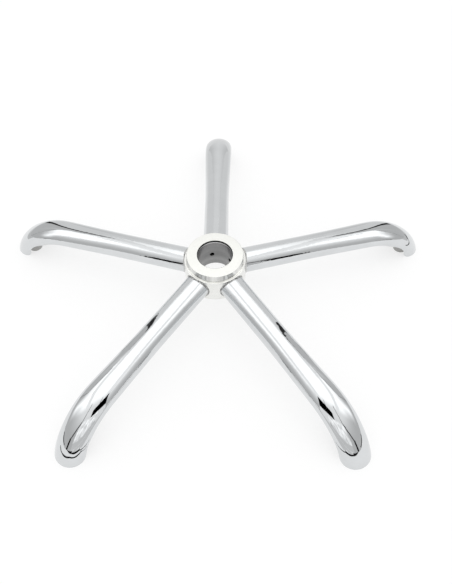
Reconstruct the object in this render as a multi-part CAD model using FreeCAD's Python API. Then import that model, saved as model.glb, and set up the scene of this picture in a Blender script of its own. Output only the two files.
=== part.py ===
"""Five star base of an office chair: a turned hub, five formed tube legs and the sockets for the casters.

Millimetres, +Z up.  The origin is the centre of the hub's top face, where the chair's column enters.
One leg points along +Y and the others follow every 72 degrees.  The five tips stand on one level plane.
Profiles are drawn in a leg's own upright plane: r runs out from the hub's axis, z is the height.
"""
import FreeCAD
import Part
import math
import os

# The whole base
leg_count = 5
first_leg_angle = 90.0
stand_height = 100.0
tip_reach = 345.0

# Hub, turned from one piece
hub_height = 50.0
hub_radius = 45.5
collar_height = 11.0
collar_top_radius = 41.3
collar_foot_radius = 42.8
ledge_round = 0.8
collar_round = 0.7
hub_foot_round = 1.5
taper_mid_radius = 25.0
taper_half_angle = 1.43
mouth_chamfer = 0.6

# Drain holes, which let the plating bath out of the legs
drain_radius = 3.5
drain_depth = 29.5
drain_turn = 12.0

# Leg, a formed steel tube
leg_depth_at_hub = 30.0
leg_slope = 4.0
bend_radius = 86.5
tube_wall = 2.0
root_half_width = 19.0
root_half_height = 18.2
throat_half_height = 16.6
tip_half_width = 22.4
tip_half_height = 20.0
swell_length = 157.0
swell_end_from_tip = 53.0
straight_stations = 9
bend_stations = 9

# Hood, the open underside of a leg's tip
arch_height = 36.0
arch_foot_from_tip = 30.0
lip_round = 8.0

# Caster socket, a plain steel bush in each hood
socket_from_tip = 27.0
socket_radius = 10.9
stem_radius = 5.5
stem_depth = 25.0
stem_chamfer = 0.8

# Welds
hub_weld_radius = 2.5
socket_weld_radius = 2.0

floor_z = -stand_height
socket_reach = tip_reach - socket_from_tip
arch_foot_reach = tip_reach - arch_foot_from_tip
swell_end = tip_reach - swell_end_from_tip
swell_start = swell_end - swell_length
slope = math.radians(leg_slope)
beyond = 60.0


def at(r, z, t=0.0):
    """A point of a leg that points along +X: r outward, t sideways, z up."""
    return FreeCAD.Vector(r, t, z)


def arc(start, middle, end):
    return Part.Arc(start, middle, end).toShape()


def turned_to(shape, angle):
    copy = shape.copy()
    copy.rotate(FreeCAD.Vector(0, 0, 0), FreeCAD.Vector(0, 0, 1), angle)
    return copy


def one_solid(shape):
    """The single solid that a cut leaves, without its wrapper."""
    return max(shape.Solids, key=lambda solid: solid.Volume)


# Hub

def taper_radius(z):
    """Radius of the tapered bore at a height; the middle of the hub has the nominal size."""
    return taper_mid_radius + (z + hub_height / 2) * math.tan(math.radians(taper_half_angle))


def rounded(corner, before, after, radius):
    """Tangent arc of a small radius over a corner: its start, middle and end points."""
    toward_before = (before - corner).normalize()
    toward_after = (after - corner).normalize()
    half = toward_before.getAngle(toward_after) / 2
    bisector = (toward_before + toward_after).normalize()
    setback = radius / math.tan(half)
    middle = corner + bisector * (radius / math.sin(half) - radius)
    return corner + toward_before * setback, middle, corner + toward_after * setback


def hub_profile():
    mouth = at(taper_radius(0.0) + mouth_chamfer, 0.0)
    throat = at(taper_radius(-mouth_chamfer), -mouth_chamfer)
    bore_foot = at(taper_radius(-hub_height), -hub_height)
    foot = at(hub_radius, -hub_height)
    ledge = at(hub_radius, -collar_height)
    collar_foot = at(collar_foot_radius, -collar_height)
    collar_top = at(collar_top_radius, 0.0)
    foot_arc = rounded(foot, bore_foot, ledge, hub_foot_round)
    ledge_arc = rounded(ledge, foot, collar_foot, ledge_round)
    collar_arc = rounded(collar_top, collar_foot, mouth, collar_round)
    edges = [
        Part.makeLine(mouth, throat),
        Part.makeLine(throat, bore_foot),
        Part.makeLine(bore_foot, foot_arc[0]),
        arc(*foot_arc),
        Part.makeLine(foot_arc[2], ledge_arc[0]),
        arc(*ledge_arc),
        Part.makeLine(ledge_arc[2], collar_foot),
        Part.makeLine(collar_foot, collar_arc[0]),
        arc(*collar_arc),
        Part.makeLine(collar_arc[2], mouth),
    ]
    return Part.Face(Part.Wire(edges))


def make_hub():
    hub = hub_profile().revolve(FreeCAD.Vector(0, 0, 0), FreeCAD.Vector(0, 0, 1), 360)
    drain = Part.makeCylinder(drain_radius, hub_radius + beyond, at(0, -drain_depth), FreeCAD.Vector(1, 0, 0))
    for angle in leg_angles():
        hub = hub.cut(turned_to(drain, angle + drain_turn))
    return one_solid(hub)


# Leg

def bend_centre():
    """Centre of the bend: on a line one bend radius below the leg, so that the tip ends at its reach."""
    start_r = hub_radius
    start_z = -leg_depth_at_hub - bend_radius / math.cos(slope)
    outer_radius = bend_radius + tip_half_height
    along = (start_r - tip_reach) * math.cos(slope) - (start_z - floor_z) * math.sin(slope)
    apart = (start_r - tip_reach) ** 2 + (start_z - floor_z) ** 2 - outer_radius ** 2
    run = -along - math.sqrt(along ** 2 - apart)
    return start_r + run * math.cos(slope), start_z - run * math.sin(slope)


def eased(value, start, end):
    """0 before start, 1 after end and a smooth rise between them."""
    share = min(max((value - start) / (end - start), 0.0), 1.0)
    return share * share * (3 - 2 * share)


def leg_stations():
    """Places along the leg's centre line: r, z, the angle below level, half width and half height."""
    centre_r, centre_z = bend_centre()
    bend_start = centre_r + bend_radius * math.sin(slope)
    last_angle = math.acos((floor_z - centre_z) / (bend_radius + tip_half_height)) + math.radians(6)
    places = []
    first_r = hub_radius / 2
    for i in range(straight_stations):
        r = first_r + (bend_start - first_r) * i / straight_stations
        z = -leg_depth_at_hub - (r - hub_radius) * math.tan(slope)
        places.append((r, z, slope))
    for i in range(bend_stations + 1):
        angle = slope + (last_angle - slope) * i / bend_stations
        places.append((centre_r + bend_radius * math.sin(angle), centre_z + bend_radius * math.cos(angle), angle))
    stations = []
    for r, z, angle in places:
        width = root_half_width + (tip_half_width - root_half_width) * eased(r, swell_start, swell_end)
        height = root_half_height + (throat_half_height - root_half_height) * eased(r, swell_start, swell_end)
        height += (tip_half_height - throat_half_height) * eased(angle, 0.4 * last_angle, last_angle)
        stations.append((r, z, angle, width, height))
    return stations


def tube_section(r, z, angle, half_width, half_height):
    """Oval section square to the centre line, with its longer axis chosen as the curve's major axis."""
    across = FreeCAD.Vector(0, 1, 0)
    upward = FreeCAD.Vector(math.sin(angle), 0, math.cos(angle))
    centre = at(r, z)
    oval = Part.Ellipse(centre + across * half_width, centre + upward * half_height, centre)
    return Part.Wire([oval.toShape()])


def tube(inset):
    """The leg's outer form, or with an inset the hollow inside it."""
    sections = [
        tube_section(r, z, angle, half_width - inset, half_height - inset)
        for r, z, angle, half_width, half_height in leg_stations()
    ]
    return Part.makeLoft(sections, True, False)


def below_floor():
    size = 2 * (tip_reach + beyond)
    return Part.makeBox(size, size, beyond, FreeCAD.Vector(-size / 2, -size / 2, floor_z - beyond))


def hood_opening():
    """What is trimmed from under the tip: a level cut, a round arch and a flared foot at each side."""
    arch_r = arch_foot_reach - arch_height
    flare_r = arch_r + math.sqrt((arch_height + lip_round) ** 2 - lip_round ** 2)
    share = arch_height / (arch_height + lip_round)
    joint = at(arch_r + (flare_r - arch_r) * share, floor_z + lip_round * share)
    lean = math.atan2(joint.z - floor_z, joint.x - arch_r)
    half_way = (lean + math.pi / 2) / 2
    arch_middle = at(arch_r + arch_height * math.cos(half_way), floor_z + arch_height * math.sin(half_way))
    lip_centre = at(flare_r, floor_z + lip_round)
    flare_middle = lip_centre - at(lip_round * math.cos(half_way), lip_round * math.sin(half_way))
    crown = at(arch_r, floor_z + arch_height)
    inner = at(arch_r - beyond, floor_z + arch_height)
    inner_low = at(arch_r - beyond, floor_z - beyond)
    foot = at(flare_r, floor_z)
    foot_low = at(flare_r, floor_z - beyond)
    edges = [
        Part.makeLine(inner_low, inner),
        Part.makeLine(inner, crown),
        arc(crown, arch_middle, joint),
        arc(joint, flare_middle, foot),
        Part.makeLine(foot, foot_low),
        Part.makeLine(foot_low, inner_low),
    ]
    face = Part.Face(Part.Wire(edges))
    face.translate(FreeCAD.Vector(0, -beyond, 0))
    return face.extrude(FreeCAD.Vector(0, 2 * beyond, 0))


def hub_envelope():
    """The hub's outer wall as a plain cylinder, which copes the legs' roots."""
    return Part.makeCylinder(hub_radius, hub_height + 2 * beyond, at(0, -hub_height - beyond))


def above_ledge():
    """The space around the collar, which the welds leave clear."""
    return Part.makeCylinder(hub_radius + beyond, beyond, at(0, -collar_height))


def make_leg(outside, inside):
    leg = outside.cut(inside)
    leg = leg.cut(hub_envelope())
    leg = leg.cut(hood_opening())
    return one_solid(leg.cut(below_floor()))


# Caster socket

def socket_column(radius, bottom, height):
    return Part.makeCylinder(radius, height, at(socket_reach, bottom))


def make_socket(inside):
    bush = socket_column(socket_radius, floor_z, stand_height).common(inside)
    stem = socket_column(stem_radius, floor_z, stem_depth)
    lead = Part.makeCone(stem_radius + stem_chamfer, stem_radius, stem_chamfer, at(socket_reach, floor_z))
    return one_solid(bush.cut(stem).cut(lead))


# Welds

def lies_on(edge, face):
    """Whether an edge runs along a face from end to end."""
    steps = 6
    span = edge.LastParameter - edge.FirstParameter
    points = [edge.valueAt(edge.FirstParameter + span * i / steps) for i in range(1, steps)]
    return all(Part.Vertex(point).distToShape(face)[0] < 0.001 for point in points)


def side_of(shape):
    """The curved wall of a cylinder or a tube, between its flat ends."""
    return max(shape.Faces, key=lambda face: face.Area)


def weld_fillet(corner, first, second, radius):
    """The metal of a fillet weld: what rounding the seam between two walls adds to or takes from a shape."""
    seam = [edge for edge in corner.Edges if lies_on(edge, side_of(first)) and lies_on(edge, side_of(second))]
    rounded_corner = corner.makeFillet(radius, seam)
    if rounded_corner.Volume > corner.Volume:
        return one_solid(rounded_corner.cut(corner))
    return one_solid(corner.cut(rounded_corner))


def leg_angles():
    return [first_leg_angle + 360.0 * i / leg_count for i in range(leg_count)]


def write(shape, node):
    shape.exportStep("parts/" + node + ".step")


def main():
    os.makedirs("parts", exist_ok=True)
    outside = tube(0.0)
    inside = tube(tube_wall)
    hub = make_hub()
    leg = make_leg(outside, inside)
    socket = make_socket(inside)
    wall = hub_envelope()
    hub_weld = one_solid(weld_fillet(wall.fuse(outside), wall, outside, hub_weld_radius).cut(above_ledge()))
    column = socket_column(socket_radius, floor_z, stand_height)
    socket_weld = weld_fillet(inside.cut(column), column, inside, socket_weld_radius)
    write(hub, "hub")
    for number, angle in enumerate(leg_angles(), start=1):
        write(turned_to(leg, angle), "leg_%d" % number)
        write(turned_to(socket, angle), "caster_socket_%d" % number)
        write(turned_to(hub_weld, angle), "hub_weld_%d" % number)
        write(turned_to(socket_weld, angle), "socket_weld_%d" % number)


main()
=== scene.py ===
"""Looks of the office chair's five star base: polished chrome on a pale floor, in soft studio light.

Metres, +Z up, in the same frame as the solids: the origin is the centre of the hub's top face.
"""
import bpy
import math
from mathutils import Matrix, Vector


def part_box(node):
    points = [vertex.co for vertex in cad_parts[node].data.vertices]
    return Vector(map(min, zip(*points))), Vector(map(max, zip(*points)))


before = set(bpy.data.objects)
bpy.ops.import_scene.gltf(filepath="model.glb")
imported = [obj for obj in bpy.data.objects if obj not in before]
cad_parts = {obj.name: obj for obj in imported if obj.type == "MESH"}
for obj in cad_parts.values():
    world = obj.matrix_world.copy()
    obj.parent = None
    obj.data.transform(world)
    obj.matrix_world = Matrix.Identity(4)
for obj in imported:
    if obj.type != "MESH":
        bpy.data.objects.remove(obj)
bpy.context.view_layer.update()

# Camera, as the photograph was taken: its place, its angles in degrees and its lens
CAMERA_PLACE = (0.0264, -0.6024, 0.7375)
CAMERA_TURN = 1.03
CAMERA_ELEVATION = 54.04
CAMERA_ROLL = -0.59
FOCAL_PIXELS = 655.2
IMAGE_HEIGHT = 584
SENSOR = 36.0

# Floor and background: the floor's paint, and the glow that lifts it to white where it is seen
FLOOR_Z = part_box("leg_1")[0][2]
FLOOR_SIZE = 6.0
FLOOR_CENTRE_Y = 0.5
FLOOR_COLOUR = (0.30, 0.30, 0.30, 1)
FLOOR_LIFT = 0.70
WHITE = (1, 1, 1, 1)

# Finish of the metal, with painted reflection, highlight and shade among its colours
LEG_CHROME = (0.695, 0.71, 0.72, 1)
HUB_TOP = (0.86, 0.863, 0.83, 1)
HUB_SIDE = (0.88, 0.88, 0.855, 1)
# Painted reflection: the grey of the vertical streaks round the collar
COLLAR_PAINTED_REFLECTION = (0.52, 0.52, 0.51, 1)
BORE_STEEL = (0.37, 0.37, 0.37, 1)
# Painted highlight: the light band of the bore's lip, below the painted shadow
BORE_LIP_HIGHLIGHT = (0.75, 0.75, 0.75, 1)
# Painted shadow: the near black at the bore's mouth, for the shadow on its inner edge
BORE_MOUTH_SHADE = (0.01, 0.01, 0.01, 1)
# Painted shade: the near black in the pits of the shaded welds
WELD_PAINTED_SHADE = (0.10, 0.10, 0.10, 1)
WELD_PALE = (0.55, 0.55, 0.54, 1)
WELD_LIGHT = (0.62, 0.62, 0.61, 1)
SOCKET_STEEL = (0.42, 0.42, 0.41, 1)
HUB_TOP_ROUGHNESS = 0.34
BORE_ROUGHNESS = 0.30

# Legs, counted anticlockwise from above, and those whose weld at the hub gets painted shade in its pits, for
# the dark shadow line at the joint
LEG_COUNT = 5
FIRST_LEG_ANGLE = 90.0
SHADED_WELD_LEGS = (3, 4)

# Hub: a radius just outside its bore, and the heights that part the bands of its colour, the painted shadow
# and highlight in the bore's mouth among them
BORE_EDGE = 0.0263
TOP_FACE = -0.0005
MOUTH_SHADE_FOOT = -0.0028
LIP_FOOT = -0.0046
COLLAR_FOOT = -0.0105

# Most of a noise's values lie between these two
NOISE_LOW = 0.3
NOISE_HIGH = 0.7

# Cloudiness of a colour, and how much longer than wide the polishing lines are
CLOUD_SCALE = 45.0
CLOUD_DETAIL = 5.0
LINE_STRETCH = 40

# Heights of the tubes' ripples and polishing lines, the hub's rings, the welds' drops and the sockets' grain
RIPPLE_HEIGHT = 0.00003
LINE_HEIGHT = 0.0000006
RING_HEIGHT = 0.000004
DROP_HEIGHT = 0.0004
SOCKET_HEIGHT = 0.00004

# Studio: brightness of its panels against the white of the floor, and the softness of a strip's long edges
PANEL_LIGHT = 1.14
STRIP_SOFTNESS = 0.2
NEARLY_ZERO = 0.001
WALL_SIDES = 96

# Heights of the mats and of their dark edges, just above the floor
MAT_Z = -0.0997
EDGE_Z = -0.0995

# The middle of the base, which the studio's strips are turned to
TARGET = Vector((0, 0, -0.05))

# Corners of a panel before it gets its size and place
UNIT_SQUARE = [(-0.5, -0.5, 0), (0.5, -0.5, 0), (0.5, 0.5, 0), (-0.5, 0.5, 0)]


class Nodes:
    """A small helper that adds nodes to a tree and links them."""

    def __init__(self, tree):
        self.tree = tree
        tree.nodes.clear()

    def add(self, kind, **values):
        node = self.tree.nodes.new(kind)
        for name, value in values.items():
            setattr(node, name, value)
        return node

    def join(self, source, target):
        self.tree.links.new(source, target)

    def math(self, operation, first, second=None):
        node = self.add("ShaderNodeMath", operation=operation)
        for slot, value in enumerate((first, second)):
            if value is None:
                continue
            if isinstance(value, (int, float)):
                node.inputs[slot].default_value = value
            else:
                self.join(value, node.inputs[slot])
        return node.outputs[0]

    def own_place(self):
        """The place on the piece, in its own directions."""
        return self.add("ShaderNodeTexCoord").outputs["Object"]

    def split_place(self):
        """The same place in three numbers."""
        axes = self.add("ShaderNodeSeparateXYZ")
        self.join(self.own_place(), axes.inputs[0])
        return axes

    def show(self, shader, output="ShaderNodeOutputMaterial"):
        """The shader that the whole tree ends in."""
        self.join(shader.outputs[0], self.add(output).inputs["Surface"])


def new_material(name):
    material = bpy.data.materials.new(name)
    material.use_nodes = True
    return material, Nodes(material.node_tree)


def spread(nodes, value, low, high):
    """A noise value stretched to a range."""
    stretched = nodes.add("ShaderNodeMapRange")
    stretched.inputs["From Min"].default_value = NOISE_LOW
    stretched.inputs["From Max"].default_value = NOISE_HIGH
    stretched.inputs["To Min"].default_value = low
    stretched.inputs["To Max"].default_value = high
    nodes.join(value, stretched.inputs["Value"])
    return stretched.outputs["Result"]


def noise(nodes, place, scale, detail):
    cloud = nodes.add("ShaderNodeTexNoise")
    cloud.inputs["Scale"].default_value = scale
    cloud.inputs["Detail"].default_value = detail
    nodes.join(place, cloud.inputs["Vector"])
    return cloud.outputs["Fac"]


def along_leg(nodes, place, angle):
    """The place turned into a leg's own directions and squeezed along it, so that noise draws long lines."""
    turned = nodes.add("ShaderNodeMapping", vector_type="TEXTURE")
    turned.inputs["Rotation"].default_value = (0, 0, math.radians(angle))
    turned.inputs["Scale"].default_value = (LINE_STRETCH, 1, 1)
    nodes.join(place, turned.inputs["Vector"])
    return turned.outputs["Vector"]


def mixed(nodes, share, first, second):
    """A colour between two others, or a socket in their place."""
    mix = nodes.add("ShaderNodeMix", data_type="RGBA")
    nodes.join(share, mix.inputs["Factor"])
    for slot, value in (("A", first), ("B", second)):
        if isinstance(value, tuple):
            mix.inputs[slot].default_value = value
        else:
            nodes.join(value, mix.inputs[slot])
    return mix.outputs["Result"]


def clouded(nodes, place, colour, amount):
    """A colour that varies a little with fine cloudiness."""
    darker = tuple(c * (1 - amount) for c in colour[:3]) + (1,)
    cloud = noise(nodes, place, CLOUD_SCALE, CLOUD_DETAIL)
    return mixed(nodes, spread(nodes, cloud, 0.0, 1.0), darker, colour)


def bumps(nodes, heights):
    """A surface raised by several noises, each with its height in metres."""
    normal = None
    for height, metres in heights:
        bump = nodes.add("ShaderNodeBump")
        bump.inputs["Distance"].default_value = metres
        nodes.join(height, bump.inputs["Height"])
        if normal is not None:
            nodes.join(normal, bump.inputs["Normal"])
        normal = bump.outputs["Normal"]
    return normal


def metal(nodes, colour, roughness, normal):
    surface = nodes.add("ShaderNodeBsdfPrincipled")
    surface.inputs["Metallic"].default_value = 1.0
    nodes.join(colour, surface.inputs["Base Color"])
    nodes.join(roughness, surface.inputs["Roughness"])
    nodes.join(normal, surface.inputs["Normal"])
    nodes.show(surface)


def leg_chrome(number):
    """Mirror chrome over formed tube, with slow ripples from bending and faint polishing lines along it."""
    material, nodes = new_material("leg_chrome_%d" % number)
    place = nodes.own_place()
    leg_angle = FIRST_LEG_ANGLE + 360.0 * (number - 1) / LEG_COUNT
    lines = noise(nodes, along_leg(nodes, place, leg_angle), scale=260.0, detail=3.0)
    ripple = noise(nodes, place, scale=22.0, detail=1.0)
    normal = bumps(nodes, ((ripple, RIPPLE_HEIGHT), (lines, LINE_HEIGHT)))
    colour = clouded(nodes, place, LEG_CHROME, amount=0.04)
    metal(nodes, colour, spread(nodes, lines, low=0.02, high=0.05), normal)
    return material


def above(nodes, axes, height):
    """1 above a height and 0 below it."""
    return nodes.math("GREATER_THAN", axes.outputs["Z"], height)


def hub_chrome():
    """Satin chrome outside, with painted reflections streaked round the collar, and bare turned steel in the
    bore, with a painted shadow at its mouth and a painted highlight on its lip; the lathe's rings in both.
    """
    material, nodes = new_material("hub_chrome")
    place = nodes.own_place()
    axes = nodes.split_place()
    flat = nodes.add("ShaderNodeCombineXYZ")
    nodes.join(axes.outputs["X"], flat.inputs["X"])
    nodes.join(axes.outputs["Y"], flat.inputs["Y"])
    radius = nodes.add("ShaderNodeVectorMath", operation="LENGTH")
    nodes.join(flat.outputs[0], radius.inputs[0])
    around = nodes.add("ShaderNodeVectorMath", operation="NORMALIZE")
    nodes.join(flat.outputs[0], around.inputs[0])
    turning = nodes.add("ShaderNodeCombineXYZ")
    nodes.join(radius.outputs["Value"], turning.inputs["X"])
    nodes.join(axes.outputs["Z"], turning.inputs["Z"])
    in_bore = nodes.math("LESS_THAN", radius.outputs["Value"], BORE_EDGE)
    on_top = above(nodes, axes, TOP_FACE)

    # Painted reflection: grey vertical streaks, set by angle round the collar's side, for the studio's
    # reflections in it
    streaks = spread(nodes, noise(nodes, around.outputs[0], scale=3.2, detail=3.0), low=1.0, high=0.0)
    collar_painted_reflections = nodes.math("MULTIPLY", streaks, above(nodes, axes, COLLAR_FOOT))
    side = mixed(nodes, collar_painted_reflections, clouded(nodes, place, HUB_SIDE, amount=0.05), COLLAR_PAINTED_REFLECTION)
    outside = mixed(nodes, on_top, side, clouded(nodes, place, HUB_TOP, amount=0.02))
    steel = clouded(nodes, turning.outputs[0], BORE_STEEL, amount=0.5)
    # Painted highlight: a light band on the bore's lip
    steel = mixed(nodes, above(nodes, axes, LIP_FOOT), steel, BORE_LIP_HIGHLIGHT)
    # Painted shadow: near black at the top of the bore
    steel = mixed(nodes, above(nodes, axes, MOUTH_SHADE_FOOT), steel, BORE_MOUTH_SHADE)
    colour = mixed(nodes, in_bore, outside, steel)

    side_roughness = spread(nodes, noise(nodes, place, scale=60.0, detail=3.0), low=0.12, high=0.18)
    top_roughness = nodes.math("MULTIPLY", on_top, HUB_TOP_ROUGHNESS)
    bore_roughness = nodes.math("MULTIPLY", in_bore, BORE_ROUGHNESS)
    outer_roughness = nodes.math("MAXIMUM", side_roughness, top_roughness)
    roughness = nodes.math("MAXIMUM", outer_roughness, bore_roughness)
    rings = noise(nodes, turning.outputs[0], scale=900.0, detail=2.0)
    metal(nodes, colour, roughness, bumps(nodes, ((rings, RING_HEIGHT),)))
    return material


def weld_metal(name, pits):
    """Plated weld beads, with a given colour in the pits between their small drops; a near black one there is
    painted shade.
    """
    material, nodes = new_material(name)
    drops = noise(nodes, nodes.own_place(), scale=420.0, detail=2.0)
    colour = mixed(nodes, spread(nodes, drops, 0.0, 1.0), pits, WELD_LIGHT)
    metal(nodes, colour, spread(nodes, drops, low=0.35, high=0.15), bumps(nodes, ((drops, DROP_HEIGHT),)))
    return material


def socket_metal():
    """Thinly plated steel of the caster sockets."""
    material, nodes = new_material("socket_steel")
    place = nodes.own_place()
    cloud = noise(nodes, place, scale=90.0, detail=4.0)
    colour = clouded(nodes, place, SOCKET_STEEL, amount=0.2)
    metal(nodes, colour, spread(nodes, cloud, low=0.22, high=0.38), bumps(nodes, ((cloud, SOCKET_HEIGHT),)))
    return material


def dress(node, material):
    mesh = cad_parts[node].data
    mesh.materials.clear()
    mesh.materials.append(material)


def dress_base():
    """Every node keeps its solid's form and gets its finish."""
    # Painted shade: a shaded copy of the weld with near black pits, for the front legs' hub welds and every
    # socket weld, beside an unshaded copy with pale pits
    shaded_weld = weld_metal("weld_metal", WELD_PAINTED_SHADE)
    unshaded_weld = weld_metal("weld_metal_unshaded", WELD_PALE)
    socket = socket_metal()
    dress("hub", hub_chrome())
    for number in range(1, LEG_COUNT + 1):
        dress("leg_%d" % number, leg_chrome(number))
        dress("caster_socket_%d" % number, socket)
        dress("hub_weld_%d" % number, shaded_weld if number in SHADED_WELD_LEGS else unshaded_weld)
        dress("socket_weld_%d" % number, shaded_weld)


def seen_directly(nodes):
    """1 for what is seen straight, in a mirror finish or through glass; 0 for light that falls on things."""
    path = nodes.add("ShaderNodeLightPath")
    straight_or_mirrored = nodes.math("MAXIMUM", path.outputs["Is Camera Ray"], path.outputs["Is Glossy Ray"])
    return nodes.math("MAXIMUM", straight_or_mirrored, path.outputs["Is Transmission Ray"])


def make_floor():
    """A pale floor, lifted to white where it is seen, with the base's soft shadow, and clear from below."""
    bpy.ops.mesh.primitive_plane_add(size=FLOOR_SIZE, location=(0, FLOOR_CENTRE_Y, FLOOR_Z))
    floor = bpy.context.object
    floor.name = "floor"
    material, nodes = new_material("pale_floor")
    paint = nodes.add("ShaderNodeBsdfDiffuse")
    paint.inputs["Color"].default_value = FLOOR_COLOUR
    glow = nodes.add("ShaderNodeEmission")
    nodes.join(nodes.math("MULTIPLY", seen_directly(nodes), FLOOR_LIFT), glow.inputs["Strength"])
    both = nodes.add("ShaderNodeAddShader")
    nodes.join(paint.outputs[0], both.inputs[0])
    nodes.join(glow.outputs[0], both.inputs[1])
    one_sided = nodes.add("ShaderNodeMixShader")
    nodes.join(nodes.add("ShaderNodeNewGeometry").outputs["Backfacing"], one_sided.inputs["Fac"])
    nodes.join(both.outputs[0], one_sided.inputs[1])
    nodes.join(nodes.add("ShaderNodeBsdfTransparent").outputs[0], one_sided.inputs[2])
    nodes.show(one_sided)
    floor.data.materials.append(material)


def make_sky():
    """An even white studio all round."""
    world = bpy.data.worlds.new("studio")
    bpy.context.scene.world = world
    world.use_nodes = True
    nodes = Nodes(world.node_tree)
    white = nodes.add("ShaderNodeBackground")
    white.inputs["Color"].default_value = WHITE
    nodes.show(white, "ShaderNodeOutputWorld")


def fade_in(nodes, distance, softness):
    """0 at an edge and 1 from a little inside it."""
    fade = nodes.add("ShaderNodeMapRange", interpolation_type="SMOOTHSTEP")
    fade.inputs["From Max"].default_value = max(softness, NEARLY_ZERO)
    nodes.join(distance, fade.inputs["Value"])
    return fade.outputs["Result"]


def even_glow(nodes, brightness):
    glow = nodes.add("ShaderNodeEmission")
    glow.inputs["Strength"].default_value = brightness * PANEL_LIGHT
    return glow


def glow_through(nodes, cover, brightness):
    """An even glow that covers what is behind it as far as the cover says."""
    both = nodes.add("ShaderNodeMixShader")
    nodes.join(cover, both.inputs["Fac"])
    nodes.join(nodes.add("ShaderNodeBsdfTransparent").outputs[0], both.inputs[1])
    nodes.join(even_glow(nodes, brightness).outputs[0], both.inputs[2])
    nodes.show(both)


def only_in_reflections(piece):
    piece.visible_camera = False
    piece.visible_diffuse = False
    piece.visible_shadow = False
    piece.visible_transmission = False


def panel(name, corners, material, place):
    """A flat piece of the studio with four corners."""
    mesh = bpy.data.meshes.new(name)
    mesh.from_pydata(corners, [], [(0, 1, 2, 3)])
    mesh.materials.append(material)
    piece = bpy.data.objects.new(name, mesh)
    bpy.context.scene.collection.objects.link(piece)
    piece.matrix_world = place
    only_in_reflections(piece)


def distance_to_sides(nodes, place):
    """How far a place on the unit square is from its nearer side."""
    return nodes.math("SUBTRACT", 0.5, nodes.math("ABSOLUTE", place.outputs["X"]))


def card(name, centre, facing, width, height, brightness, sides=0.02, low=0.02, high=0.02, mottle=0.0):
    """A studio panel that only the chrome sees.

    It faces a point. The softness of its sides, lower and upper edge is a share of its size.
    Mottle is the scale of its blotches.
    """
    front = (Vector(facing) - Vector(centre)).normalized()
    upward = Vector((0, 0, 1)) - front * front.z
    if upward.length < NEARLY_ZERO:
        upward = Vector((0, 1, 0))
    upward.normalize()
    axes = Matrix((upward.cross(front) * width, upward * height, front)).transposed()
    material, nodes = new_material(name)
    place = nodes.split_place()
    to_foot = nodes.math("ADD", 0.5, place.outputs["Y"])
    to_head = nodes.math("SUBTRACT", 0.5, place.outputs["Y"])
    upright = nodes.math("MULTIPLY", fade_in(nodes, to_foot, low), fade_in(nodes, to_head, high))
    cover = nodes.math("MULTIPLY", fade_in(nodes, distance_to_sides(nodes, place), sides), upright)
    if mottle:
        blotches = noise(nodes, nodes.own_place(), mottle, detail=2.0)
        cover = nodes.math("MULTIPLY", cover, spread(nodes, blotches, 0.0, 1.0))
    glow_through(nodes, cover, brightness)
    panel(name, UNIT_SQUARE, material, Matrix.Translation(centre) @ axes.to_4x4())


def strip(name, start, end, width, brightness=0.0):
    """A narrow edge, pole or seam of the studio between two points, turned to the base."""
    start = Vector(start)
    end = Vector(end)
    middle = (start + end) / 2
    along = (end - start).normalized()
    front = TARGET - middle
    front = (front - along * front.dot(along)).normalized()
    axes = Matrix((along.cross(front) * width, along * (end - start).length, front)).transposed()
    material, nodes = new_material(name)
    to_sides = distance_to_sides(nodes, nodes.split_place())
    glow_through(nodes, fade_in(nodes, to_sides, STRIP_SOFTNESS), brightness)
    panel(name, UNIT_SQUARE, material, Matrix.Translation(middle) @ axes.to_4x4())


def blade(name, corners, brightness):
    """A hard-edged studio panel with four free corners, seen from both sides."""
    material, nodes = new_material(name)
    nodes.show(even_glow(nodes, brightness))
    panel(name, corners, material, Matrix())


def grey_wall(radius, solid_to, top, brightness):
    """The studio's round grey wall, which the chrome sees along the horizon and which fades out upward."""
    bpy.ops.mesh.primitive_cylinder_add(
        vertices=WALL_SIDES, radius=radius, depth=top - FLOOR_Z, end_fill_type="NOTHING",
        location=(0, 0, (top + FLOOR_Z) / 2))
    wall = bpy.context.object
    wall.name = "grey_wall"
    material, nodes = new_material("grey_wall")
    to_top = nodes.math("SUBTRACT", (top - FLOOR_Z) / 2, nodes.split_place().outputs["Z"])
    glow_through(nodes, fade_in(nodes, to_top, top - solid_to), brightness)
    wall.data.materials.append(material)
    only_in_reflections(wall)


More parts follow.
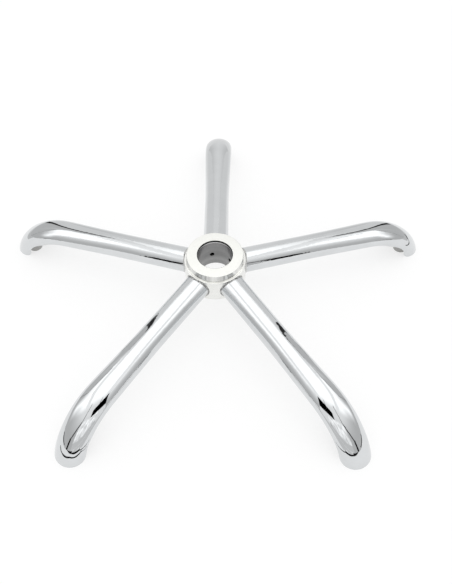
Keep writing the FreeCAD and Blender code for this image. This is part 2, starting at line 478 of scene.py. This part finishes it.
def middle_of_studio():
    """What stands above, behind and in front of the base, and the single edges on the floor."""
    grey_wall(radius=1.393, solid_to=0.173, top=1.424, brightness=0.518)
    card("overhead_softbox", centre=(0, 0.192, 1.509), facing=(0, 0.192, 0.0), width=8.927, height=2.38,
         brightness=1.3, sides=0.032, low=0.244, high=0.005)
    card("back_screen", centre=(0, 0.855, 0.382), facing=(0, 0, 0.382), width=1.222, height=1.751,
         brightness=0.78, sides=0.53, high=0.005)
    card("back_sheet", centre=(0, 0.688, -0.099), facing=(0, 0.688, 1.0), width=1.686, height=0.961,
         brightness=0.757, sides=0.1, low=0.236)
    blade("flag", brightness=0.0,
          corners=[(0, -0.275, 0.142), (0, -0.312, 0.022), (0, -0.93, 0.53), (0, -0.88, 0.86)])
    blade("flag_paper", brightness=0.85,
          corners=[(0, -0.312, 0.022), (0, -0.312, -0.05), (0, -0.42, -0.05), (0, -0.42, 0.111)])
    card("front_wall", centre=(0, -1.25, 0.25), facing=(0, 0, 0.25), width=2.4, height=0.75,
         brightness=0.62, sides=0.2, high=0.4)
    card("mat", centre=(0, -0.39, MAT_Z), facing=(0, -0.39, 1.0), width=0.28, height=0.12, brightness=0.62)
    card("mat_front", centre=(0, -0.72, MAT_Z), facing=(0, -0.72, 1.0), width=0.70, height=0.56,
         brightness=0.62, sides=0.2)
    strip("paper_edge", start=(-0.30, -0.285, EDGE_Z), end=(-0.205, -0.335, EDGE_Z), width=0.012)
    strip("paper_front", start=(-0.208, -0.335, EDGE_Z), end=(-0.152, -0.30, EDGE_Z), width=0.010)
    strip("paper_side", start=(-0.153, -0.30, EDGE_Z), end=(-0.150, -0.26, EDGE_Z), width=0.008)
    strip("side_edge", start=(0.80, 0.48, EDGE_Z), end=(0.445, 0.138, EDGE_Z), width=0.03)
    strip("side_edge_end", start=(0.445, 0.138, EDGE_Z), end=(0.36, 0.06, EDGE_Z), width=0.008)


def side_of_studio(s):
    """What stands on one side, -1 for the left and 1 for the right."""
    card("side_mat", centre=(s * 0.87, 0.45, MAT_Z), facing=(s * 0.87, 0.45, 1.0), width=0.80, height=0.70,
         brightness=0.58)
    strip("stand", start=(s * 0.88, -1.0, -0.1), end=(s * 0.875, -1.0, 0.24), width=0.16)
    strip("boom", start=(s * 0.875, -1.0, 0.23), end=(s * 0.52, -1.0, 0.70), width=0.10, brightness=0.06)
    strip("boom_end", start=(s * 0.52, -1.0, 0.70), end=(s * 0.50, -0.98, 1.40), width=0.07, brightness=0.2)
    strip("boom_top", start=(s * 0.50, -0.98, 1.40), end=(s * 0.443, -0.58, 1.54), width=0.07, brightness=0.2)
    strip("mat_corner", start=(s * 0.60, -0.75, EDGE_Z), end=(s * 0.225, -0.42, EDGE_Z), width=0.05)
    strip("mat_side", start=(s * 0.225, -0.42, EDGE_Z), end=(s * 0.15, -0.335, EDGE_Z), width=0.024)
    strip("mat_inner_side", start=(s * 0.15, -0.335, EDGE_Z), end=(s * 0.140, -0.265, EDGE_Z), width=0.016)
    strip("skirting", start=(s * 1.10, -0.80, -0.07), end=(s * 1.10, -0.30, -0.07), width=0.06,
          brightness=0.03)
    card("overhead_side_seam", centre=(s * 1.02, -0.1, 1.49), facing=(s * 1.02, -0.1, 0.0), width=0.05,
         height=1.0, brightness=0.75, sides=0.3)
    card("overhead_seam", centre=(s * 0.443, 0.1, 1.55), facing=(s * 0.443, 0.1, 0.0), width=0.06, height=1.4,
         brightness=0.0, sides=0.3)
    card("side_softbox", centre=(s * 0.839, -0.089, 0.639), facing=(0, -0.089, 0.639), width=0.471,
         height=1.263, brightness=1.464, sides=0.691, low=0.164)
    card("side_screen", centre=(s * 0.711, 0.15, 1.211), facing=(0, 0.15, 1.211), width=1.84, height=0.67,
         brightness=0.956, sides=0.005, low=0.402)
    card("reflector_rim", centre=(s * 0.628, 0.267, 0.187), facing=(s * 0.525, -0.732, 0.187), width=0.549,
         height=0.544, brightness=0.03, sides=0.01)
    card("reflector", centre=(s * 0.628, 0.262, 0.167), facing=(s * 0.525, -0.732, 0.167), width=0.490,
         height=0.506, brightness=0.531, sides=0.01, high=0.01)
    card("upper_screen", centre=(s * 0.414, 0.524, 0.284), facing=(s * -0.525, 0.18, 0.082), width=0.654,
         height=1.356, brightness=0.715, sides=0.125, high=0.488)
    card("front_screen", centre=(s * 0.252, -1.004, 0.412), facing=(s * 0.15, -0.2, 0.412), width=0.581,
         height=0.673, brightness=1.3, sides=0.106, high=0.243, mottle=3.5)


def make_camera():
    turn, elevation, roll = (math.radians(v) for v in (CAMERA_TURN, CAMERA_ELEVATION, CAMERA_ROLL))
    level = math.cos(elevation)
    back = Vector((math.sin(turn) * level, -math.cos(turn) * level, math.sin(elevation)))
    right = Vector((math.cos(turn), math.sin(turn), 0))
    up = back.cross(right)
    rolled_right = right * math.cos(roll) + up * math.sin(roll)
    rolled_up = up * math.cos(roll) - right * math.sin(roll)
    camera = bpy.data.objects.new("camera", bpy.data.cameras.new("camera"))
    bpy.context.scene.collection.objects.link(camera)
    axes = Matrix((rolled_right, rolled_up, back)).transposed()
    camera.matrix_world = Matrix.Translation(CAMERA_PLACE) @ axes.to_4x4()
    camera.data.sensor_width = SENSOR
    camera.data.lens = FOCAL_PIXELS * SENSOR / IMAGE_HEIGHT
    bpy.context.scene.camera = camera


def soft_lamp(name, place, size, power):
    """A square lamp aimed at the origin, which reflections don't see."""
    data = bpy.data.lights.new(name, "AREA")
    data.size = size
    data.energy = power
    lamp = bpy.data.objects.new(name, data)
    bpy.context.scene.collection.objects.link(lamp)
    lamp.location = place
    lamp.rotation_euler = (-Vector(place)).to_track_quat("-Z", "Y").to_euler()
    lamp.visible_glossy = False
    lamp.visible_camera = False


bpy.context.scene.view_settings.view_transform = "Standard"
make_camera()
dress_base()
make_floor()
make_sky()
middle_of_studio()
for side in (-1, 1):
    side_of_studio(side)
soft_lamp("overhead", place=(0.2, -0.2, 1.8), size=1.6, power=3.0)
